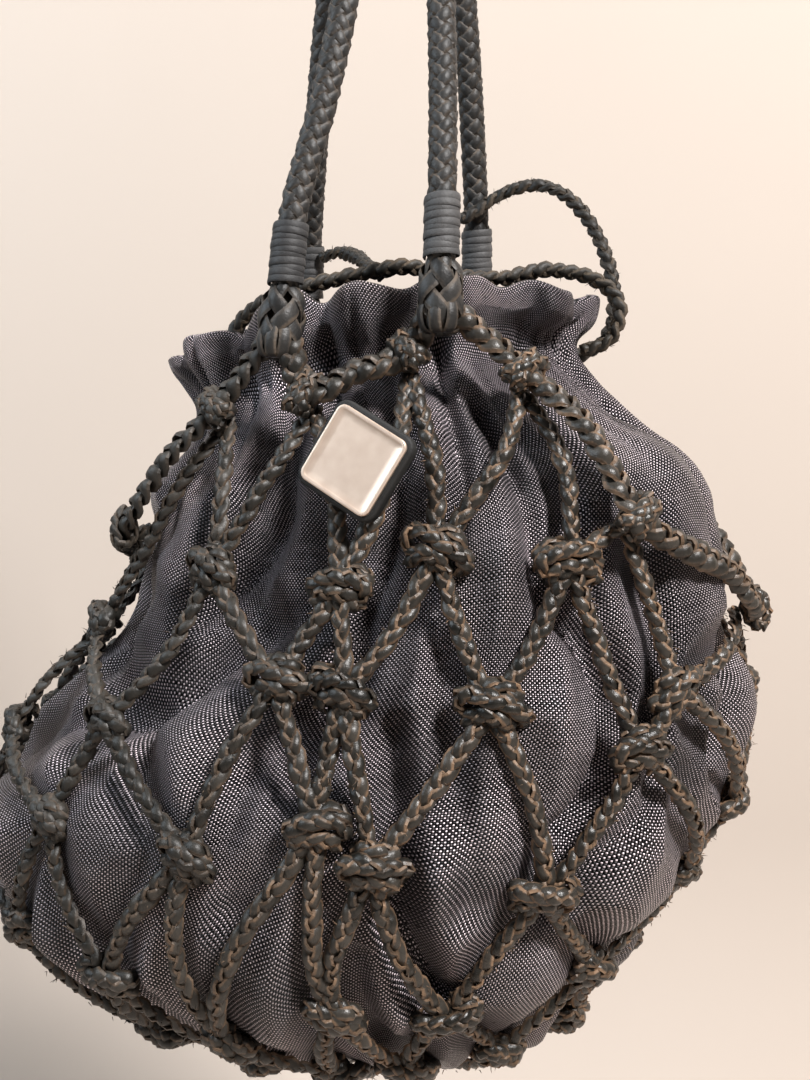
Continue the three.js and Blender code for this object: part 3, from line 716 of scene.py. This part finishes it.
# The point that a knot's plaits wrap round, and how far knots differ.
KNOT_CORE = np.array([0, -0.5, 3.5])
KNOT_SPIN, KNOT_SIZE_SPREAD, KNOT_STRAY, FLIPPED_SHARE = 0.2, 0.05, 0.35, 0.4


def knot_bundle(turn):
    return knots_front if math.cos(turn) > 0 else knots_back


def knot(row, turn):
    """One knot of three short plaits, a little different each time."""
    centre, axes = outline(row, turn), axes_at(row, turn)
    twist = spun(RNG.normal() * KNOT_SPIN)
    size = 1 + RNG.normal() * KNOT_SIZE_SPREAD
    flip = np.array([-1 if RNG.random() < FLIPPED_SHARE else 1, 1, 1])
    for path in KNOTS[int(RNG.integers(len(KNOTS)))]:
        local = curve(np.array(path) * flip + RNG.normal(size=(len(path), 3)) * KNOT_STRAY)
        line = centre + (local * size) @ twist @ axes
        hint = (local - KNOT_CORE) @ twist @ axes
        plait(knot_bundle(turn), line, hint, KNOT_PLAIT, tan_at(centre), any_phase())


for ring in list(RINGS)[1:]:
    for column in range(KNOT_COLUMNS):
        knot(*knot_place(ring, column))

net_upper.build("net_upper", "net_leather", ("net",))
net_lower.build("net_lower", "net_leather", ("net",))
net_fibres.build("net_fibres", "net_leather")

# Handles, whippings and collars.
LEG_STEP = 0.5
BRAID_SEAT = 0.95
WHIPPING_TURNS, WHIPPING_POINTS, WHIPPING_END = 10, 26, 1.4
WHIPPING_LIFT, WHIPPING_WIDTH, WHIPPING_THICK = 1.05, 2.9, 0.4
COLLAR_SEAT, COLLAR_RISE, COLLAR_TAPER, COLLAR_LEAST, COLLAR_PHASE_SPAN = 1.3, 1.5, 2.5, 0.12, 6
# Straps round a collar's foot: count and size, and how far out and how high each point is.
STRAPS, STRAP_WIDTH, STRAP_THICK, STRAP_STEP = 7, 4.4, 1.0, 1.4
STRAP_PATH = ((6.8, -2.5), (7.6, -7.5), (5.8, -12.2), (3.2, -12.6), (2.4, -9.0))


def handle(name, route):
    line = curve(route)
    bundle = Bundle()
    round_braid(bundle, line, HANDLE_RADIUS - BRAID_SEAT, HANDLE_BRAID, HANDLE_TAN)
    bundle.build(f"{name}_braid", "handle_leather", (name,))
    return even(line, LEG_STEP)[0]


def whipping(name, leg, start):
    """A thong wound close round the foot of a leg, with slightly uneven turns."""
    stretch, far = even(leg[:int(WHIPPING_LENGTH / LEG_STEP)], LEG_STEP)
    wind = np.linspace(0, FULL_TURN * WHIPPING_TURNS, WHIPPING_TURNS * WHIPPING_POINTS)
    along = np.linspace(WHIPPING_END, far[-1] - WHIPPING_END, len(wind)) + 0.3 * np.sin(wind * 0.29 + start)
    middle = read_off(stretch, far, along)
    normal = carried(middle)
    out = turned(normal, np.cross(tangents(middle), normal), wind)
    radius = HANDLE_RADIUS + WHIPPING_LIFT + 0.12 * np.sin(wind * 0.37) + 0.08 * np.sin(wind * 1.7)
    face = out + tangents(middle) * (0.1 + 0.06 * np.sin(wind * 0.61))[:, None]
    wound = middle + out * radius[:, None]
    bundle = Bundle()
    sweep(bundle, wound, face, WHIPPING_WIDTH, WHIPPING_THICK, RNG.random(), WHIPPING_TAN)
    bundle.build(f"{name}_thong", "thong", (name,))


def collar(name, centre, up):
    """A braided knot with straps that turn in under its foot."""
    bundle = Bundle()
    reach = np.linspace(-COLLAR_HALF, COLLAR_HALF + COLLAR_RISE, 40)
    swell = np.sqrt(np.clip(1 - (reach / (COLLAR_HALF + COLLAR_TAPER)) ** 2, COLLAR_LEAST, 1))
    round_braid(bundle, centre + up * reach[:, None], (COLLAR_RADIUS - COLLAR_SEAT) * swell, COLLAR_BRAID,
                COLLAR_TAN, RNG.random() * COLLAR_PHASE_SPAN)
    for k in range(STRAPS):
        a = FULL_TURN * (k + 0.5 * RNG.random()) / STRAPS
        aside = np.cross(up, [math.cos(a), math.sin(a), 0.1])
        strap, _ = even(curve([centre + aside * r + up * h for r, h in STRAP_PATH]), STRAP_STEP)
        sweep(bundle, strap, strap - centre + up * 4, STRAP_WIDTH, STRAP_THICK, RNG.random(), COLLAR_TAN)
    bundle.build(f"{name}_knot", "handle_leather", (name,))


collars = {}
for place, route in HANDLES.items():
    fine = handle(f"handle_{place}", route)
    for side, leg in (("left", fine), ("right", fine[::-1])):
        whipping(f"whipping_{place}_{side}", leg, len(collars))
        up = tangents(leg)[0]
        centre = leg[0] - up * (COLLAR_HALF + GAP)
        collars[f"{place}_{side}"] = centre
        collar(f"collar_{place}_{side}", centre, up)

# Yokes: wide flat plaits from collar to collar, with the net's cords hitched round them.
YOKE_ROOT, YOKE_FACE_DROP = 3.0, 40
# Each turn of a hitch: its shift along the yoke and its slant. Some columns have one.
HITCH_TURNS = ((-2.6, 1.25), (2.6, -1.0))
SINGLE_HITCHES = (0, 6, 13)
HITCH_HALF_HIGH, HITCH_HALF_DEEP = 7.4, 3.7


def leave(collar_centre, towards):
    """Where a yoke comes out of a collar."""
    way = unit(towards - collar_centre)
    swell = 1 / math.hypot(math.hypot(way[0], way[1]) / COLLAR_RADIUS, way[2] / COLLAR_HALF)
    return collar_centre + way * (swell - YOKE_ROOT)


def yoke_line(start, columns, end):
    """The yoke's route, past each of its columns and halfway between them."""
    places = [knot_place("yoke", column) for column in columns]
    hung = [on_bag(*places[0], YOKE_LIFT)]
    for (row_before, turn_before), (row, turn) in zip(places, places[1:]):
        lap = FULL_TURN if turn < turn_before else 0
        hung.append(on_bag((row + row_before) / 2, (turn + lap + turn_before) / 2, YOKE_LIFT))
        hung.append(on_bag(row, turn, YOKE_LIFT))
    return curve([leave(collars[start], hung[0]), *hung, leave(collars[end], hung[-1])])


def hitch(line, column):
    """A cord of the net, wound round its yoke."""
    row, turn = knot_place("yoke", column)
    at = on_bag(row, turn, YOKE_LIFT)
    axis = tangents(line)[int(np.argmin(np.linalg.norm(line - at, axis=1)))]
    out = outward(row, turn)
    out = unit(out - axis * out.dot(axis))
    side = np.cross(axis, out)
    a = np.linspace(0, FULL_TURN, 40)
    for shift, slant in HITCH_TURNS[:1 if column in SINGLE_HITCHES else 2]:
        loop = (at + axis * (shift + slant * np.sin(a))[:, None]
                + side * (HITCH_HALF_HIGH * np.cos(a))[:, None]
                + out * (HITCH_HALF_DEEP * np.sin(a))[:, None])
        plait(knot_bundle(turn), loop, loop - at, HITCH_PLAIT, tan_at(at), any_phase())


for name, (start, columns, end) in YOKES.items():
    line = yoke_line(start, columns, end)
    shift = section(row_at(line[:, 2]))[:, 3]
    middle = np.stack([shift, np.zeros(len(line)), line[:, 2] - YOKE_FACE_DROP], -1)
    yoke = Bundle()
    plait(yoke, line, line - middle, YOKE_PLAIT, tan_at(line.mean(0)) * YOKE_TAN_SHARE)
    yoke.build(f"{name}_plait", "net_leather", (name,))
    for column in columns:
        hitch(line, column)

# The knot under the bottom, of two rings: radius, drop and lean.
BOTTOM_RINGS = ((13.0, 6.5, 0.0), (6.5, 8.5, 0.3))
bottom = np.array([0, 0, SECTIONS[-1][0]])
for radius, drop, lean in BOTTOM_RINGS:
    a = np.linspace(0, FULL_TURN, 60)
    loop = bottom + np.stack([radius * np.cos(a), radius * np.sin(a), -drop + lean * radius * np.sin(a)], -1)
    plait(knots_back, loop, loop - bottom + [0, 0, 3.0], BOTTOM_PLAIT, BOTTOM_TAN)
knots_front.build("net_knots_front", "net_leather", ("net",))
knots_back.build("net_knots_back", "net_leather", ("net",))

# The pouch: heights of its rim, its neck, the end of its gathers and the top of the net.
RIM, NECK, FADE, NET_TOP = -256.0, -283.0, -345.0, -300.0
GATHER_COUNT, GATHER_WANDER, GATHER_DEPTH, RUFFLE_DEPTH = 12, 0.09, 8, 3
PLEAT_REACH = 150
HEM_DROP, WALL, RUFFLE_WALL, RUFFLE_SWAY, RUFFLE_RISE = 2.0, 1.3, 2.0, 9, 6
FOLD_RUN_OUT, FOLD_EASE, DEEPEN = 0.25, 0.4, 1.5
# How the cloth puffs out away from the cords and stays in under them.
CLOTH_CLEAR, PUFF, PUFF_FROM, PUFF_REACH, NECK_REACH = 1.2, 7.0, 3.5, 17, 40
UNDER_CORD, UNDER_RISE, UNDER_FROM, UNDER_REACH = 0.6, 13, 3, 22
# Ripples: their size, and the width and height of a patch.
RIPPLES = ((1.8, 21, 34), (0.7, 7, 9))
CLOTH_COLUMNS, HEM_ROW, SHOULDER_ROW = 340, 0.25, 4.6
CLOTH_ROWS = np.concatenate([np.linspace(0, HEM_ROW, 8)[:-1], np.linspace(HEM_ROW, SHOULDER_ROW, 45),
                             np.linspace(SHOULDER_ROW, LAST_ROW, 79)[1:]])


def gather_wave(turn):
    return 0.5 - 0.5 * np.cos(GATHER_COUNT * (turn + GATHER_WANDER * np.sin(2 * turn)))


def in_ruffle(height):
    return smooth((height - NECK) / (RIM - NECK))


def dent(height, turn):
    """How deep the gathers and folds are."""
    gathered = smooth((height - FADE) / (NECK - FADE))
    depth = (GATHER_DEPTH + RUFFLE_DEPTH * in_ruffle(height)) * gathered * gather_wave(turn)
    for top, turn_top, low, turn_low, width, deep in FOLDS:
        along = (top - height) / (top - low)
        middle = turn_top + (turn_low - turn_top) * along
        off = np.mod(np.degrees(turn) - middle + 180, 360) - 180
        ends = smooth((along + FOLD_RUN_OUT) / FOLD_EASE) * smooth((1 + FOLD_RUN_OUT - along) / FOLD_EASE)
        depth = np.maximum(depth, deep * ends * np.exp(-((off / width) ** 2)))
    return depth


def beside(points, height, turn):
    """Distance from a line of turns and heights, in millimetres on the cloth."""
    line = np.array(points, float) * [MM_PER_DEGREE, 1]
    away = np.full(height.shape, 1e9)
    degrees = np.degrees(turn)
    for a, b in zip(line[:-1], line[1:]):
        for lap in (0, 360):
            x, y = (degrees - lap) * MM_PER_DEGREE - a[0], height - a[1]
            d = b - a
            t = np.clip((x * d[0] + y * d[1]) / d.dot(d), 0, 1)
            away = np.minimum(away, np.hypot(x - t * d[0], y - t * d[1]))
    return away


def ridges(table, height, turn, power):
    """The highest of the table's lines at each place, each fading to its sides."""
    each = [high * np.exp(-(beside(line, height, turn) / wide) ** power) for line, wide, high in table]
    return np.max(each, 0)


def pleats(height, turn):
    """Narrow valleys that run down from the neck between round crests, and die out."""
    down = np.clip((NECK - height) / PLEAT_REACH, 0, 1)
    lean = turn + 0.05 * np.sin(3 * turn + 1) + 0.1 * down * np.sin(2 * turn + 0.6)
    many = 1 - np.abs(np.sin(16 * lean + 0.9 * np.sin(5 * lean)))
    few = 1 - np.abs(np.sin(8 * lean + 1.2 * np.sin(3 * lean + 2)))
    narrow = 3.4 * many**1.4 * smooth(1 - 3 * down) + 4.5 * few**1.7 * smooth(1 - 1.5 * down)
    return narrow * (1 - 0.65 * in_ruffle(height))


def clouds(base, wide, tall):
    """Smooth noise over the cloth, with patches of this width and height."""
    grid = base.reshape(-1, 3) / [wide, wide, tall]
    return np.array([noise.noise(Vector(p)) for p in grid]).reshape(base.shape[:-1])


def from_cords(base):
    """Distance from the middle of the nearest cord of the net."""
    stops = np.vstack(cord_points)
    tree = kdtree.KDTree(len(stops))
    for i, p in enumerate(stops):
        tree.insert(p, i)
    tree.balance()
    return np.array([tree.find(p)[2] for p in base.reshape(-1, 3)]).reshape(base.shape[:-1])


def cloth_lift(base, height, turn):
    """How far the cloth stands out from the bag's outline. Below the neck the cords hold it in."""
    near = from_cords(base)
    puff = PUFF * smooth((near - PUFF_FROM) / PUFF_REACH) * smooth((NET_TOP - height) / NECK_REACH)
    ripple = sum(size * clouds(base, wide, tall) for size, wide, tall in RIPPLES)
    crease = DEEPEN * ridges(CREASES, height, turn, 1.3)
    crest = DEEPEN * ridges(CRESTS, height, turn, 2)
    hollow = ridges(HOLLOWS, height, turn, 2)
    lift = CLOTH_CLEAR + puff + ripple + crest - np.maximum(crease, dent(height, turn))
    lift = lift - np.maximum(hollow, pleats(height, turn))
    under_cords = UNDER_CORD + UNDER_RISE * smooth((near - UNDER_FROM) / UNDER_REACH)
    return np.where(height < NET_TOP, np.minimum(lift, under_cords), lift)


def pouch():
    """The cloth as one closed shell, with a thicker wall in the ruffle and a round hem."""
    around = np.linspace(0, FULL_TURN, CLOTH_COLUMNS, endpoint=False)
    row, turn = np.meshgrid(CLOTH_ROWS, around, indexing="ij")
    height = section(row)[..., 0]
    base, out = outline(row, turn), outward(row, turn)
    ruffle = in_ruffle(height)
    round_hem = np.sqrt(1 - np.clip(1 - row / HEM_ROW, 0, 1) ** 2)
    lift = cloth_lift(base, height, turn) - HEM_DROP * (1 - round_hem)
    outer = base + out * lift[..., None]
    outer += out * (ruffle * RUFFLE_SWAY * clouds(base, 27, 120))[..., None]
    outer[..., 2] += ruffle * (RUFFLE_RISE * clouds(base, 19, 60) - RUFFLE_RISE * gather_wave(turn) ** 2)
    inner = outer - out * (WALL + RUFFLE_WALL * ruffle * round_hem)[..., None]
    points = np.vstack([outer.reshape(-1, 3), inner.reshape(-1, 3)])
    u = (np.mod(turn + math.pi, FULL_TURN) / FULL_TURN - 0.5) * WEAVE_ROUND
    v = np.broadcast_to(lengths(base[:, 0])[:, None], row.shape)
    uv = np.stack([u, v], -1).reshape(-1, 2)
    inside = row.size
    wall = np.roll(tube_quads(len(CLOTH_ROWS), CLOTH_COLUMNS)[:, ::-1], 1, axis=1)
    a, b = wall[:CLOTH_COLUMNS, 0], wall[:CLOTH_COLUMNS, 3]
    rim = np.stack([a, b, b + inside, a + inside], -1)
    foot = (len(CLOTH_ROWS) - 1) * CLOTH_COLUMNS + closing_quads(CLOTH_COLUMNS)
    quads = np.vstack([wall, wall[:, ::-1] + inside, rim, foot, foot[:, ::-1] + inside])
    obj = piece("pouch_cloth", points, quads, "cloth", ("pouch",), uv=np.vstack([uv, uv]))


pouch()

# The badge: a leather backing, a bare plate on it and two ties behind.
CORNER_STEPS, LEAST_CORNER, BADGE_VALUE = 11, 0.4, 0.3
TIE_PATH = ((5, 9, 0.6), (6, 11, -4), (5.5, 8, -10), (4.5, -1, -11), (5, -7, -8), (5, -8, 0.6))
TIE_WIDTH, TIE_THICK, TIE_STEP = 5.0, 1.4, 1.2
PLATE_CORNER = BADGE["corner"] - 1.5


def slab(profile, side, corner):
    """A rounded square built from rings: each is an inset and a height."""
    around = []
    for k, (right, up) in enumerate(((1, 1), (-1, 1), (-1, -1), (1, -1))):
        for q in np.linspace(0, math.pi / 2, CORNER_STEPS):
            a = q + k * math.pi / 2
            around.append((right, up, math.cos(a), math.sin(a)))
    around = np.array(around)
    rings = []
    for inset, high in profile:
        c = max(corner - inset, LEAST_CORNER)
        flat = around[:, :2] * (side / 2 - inset - c) + around[:, 2:] * c
        rings.append(np.column_stack([flat, np.full(len(flat), high)]))
    close = closing_quads(len(around))
    last_ring = (len(rings) - 1) * len(around)
    quads = np.vstack([tube_quads(len(rings), len(around)), close, close[:, ::-1] + last_ring])
    return np.vstack(rings), quads


def badge():
    row, turn = float(row_at(BADGE["height"])), math.radians(BADGE["place"])
    out = outward(row, turn)
    face = unit(np.array([out[0] + BADGE["sidelong"], out[1], out[2] * BADGE["lean"]]))
    right = unit(np.cross([0, 0, 1], face))
    axes = np.array([right, np.cross(face, right), face])
    at = on_bag(row, turn, BADGE["lift"])
    spin = spun(math.radians(BADGE["turn"]))
    ties = Bundle()
    for side in (-1, 1):
        loop, _ = even(curve([at + np.array([side * x, y, z]) @ axes for x, y, z in TIE_PATH]), TIE_STEP)
        sweep(ties, loop, loop - (at - 4 * face), TIE_WIDTH, TIE_THICK, RNG.random(), TIE_TAN)
    ties.build("badge_ties", "backing")
    base, low = BADGE["base"], BADGE["base"] + GAP - 0.3
    top = BADGE["base"] + GAP + BADGE["metal"]
    backing = [(3, 0), (0.7, 0.1), (0, 0.8), (0, base - 0.9), (0.25, base - 0.3), (0.9, base), (3, base)]
    plate = [(1.5, low), (0, low), (0, top - 0.3), (0.15, top - 0.06), (0.4, top), (1.2, top),
             (1.4, top - 0.1), (1.7, top - 0.3), (4, top - 0.3), (8, top - 0.3)]
    for name, slot, profile, side, corner in (
            ("badge_backing", "backing", backing, BADGE["side"], BADGE["corner"]),
            ("badge_plate", "badge_metal", plate, BADGE["plate"], PLATE_CORNER)):
        points, quads = slab(profile, side, corner)
        values = {key: np.full(len(points), BADGE_VALUE) for key in ("edge", "tone", "tan")}
        piece(f"{name}_face", points @ spin @ axes + at, quads, slot, (name,), values)


badge()

# Stage and light, in metres.
FLOOR, COVE, BACK_WALL = -0.95, 0.35, 0.45
STAGE_FRONT, STAGE_TOP, STAGE_HALF = -1.7, 1.6, 1.5
PAPER, PAPER_SHADE, PAPER_ROUGH = (0.535, 0.462, 0.402, 1), 0.94, 0.8
Lamp = namedtuple("Lamp", "place target power size colour")
LAMPS = {
    "key": Lamp((1.12, -1.02, 1.15), (0, 0, -0.4), 94, 0.36, (1.0, 0.975, 0.96)),
    "fill": Lamp((-1.3, -1.1, 0.5), (0, 0, -0.4), 3.4, 1.2, (0.78, 0.89, 1.0)),
    "wall": Lamp((-0.95, -0.3, 0.3), (-0.3, 0.45, -0.4), 9.5, 0.8, (0.8, 0.91, 1.0)),
    "back": Lamp((-0.1, 0.42, 0.6), (0, 0.05, -0.45), 5.0, 0.6, (1.0, 0.97, 0.94)),
}
SKY_COLOUR, SKY_STRENGTH, PALE_COLOUR = (1.0, 0.98, 0.96, 1), 0.07, (0.88, 0.79, 0.70, 1)


def backdrop():
    """A floor that curves up into a wall."""
    profile = [(STAGE_FRONT, FLOOR)]
    for a in np.linspace(0, math.pi / 2, 24):
        profile.append((BACK_WALL - COVE + COVE * math.sin(a), FLOOR + COVE - COVE * math.cos(a)))
    profile.append((BACK_WALL, STAGE_TOP))
    mesh = bpy.data.meshes.new("backdrop")
    points = [(x, y, z) for y, z in profile for x in (-STAGE_HALF, STAGE_HALF)]
    faces = [(2 * i, 2 * i + 1, 2 * i + 3, 2 * i + 2) for i in range(len(profile) - 1)]
    mesh.from_pydata(points, [], faces)
    mesh.shade_smooth()
    shade = tuple(c * PAPER_SHADE for c in PAPER[:3]) + (1,)
    mesh.materials.append(paper("backdrop", PAPER, shade, PAPER_ROUGH))
    obj = bpy.data.objects.new("backdrop", mesh)
    bpy.context.collection.objects.link(obj)


def light(name, lamp):
    data = bpy.data.lights.new(name, "AREA")
    data.energy = lamp.power
    data.size = lamp.size
    data.color = lamp.colour
    obj = bpy.data.objects.new(name, data)
    obj.location = lamp.place
    obj.rotation_euler = (Vector(lamp.target) - Vector(lamp.place)).to_track_quat("-Z", "Y").to_euler()
    obj.visible_camera = False
    bpy.context.collection.objects.link(obj)


def surroundings():
    """A world that is dim as a light and pale where the camera sees it."""
    look = Nodes(bpy.data.worlds.new("world"))
    look.give(0, SKY_COLOUR, "Background")
    look.give(1, SKY_STRENGTH, "Background")
    dim = look.tree.nodes["Background"].outputs[0]
    pale = look.add("Background", {0: PALE_COLOUR})[0]
    seen = look.add("LightPath")["Is Camera Ray"]
    look.give("Surface", look.add("MixShader", {0: seen, 1: dim, 2: pale})[0], "World Output")
    bpy.context.scene.world = look.owner


backdrop()
for name, lamp in LAMPS.items():
    light(name, lamp)
surroundings()
bpy.context.scene.view_settings.view_transform = "Standard"
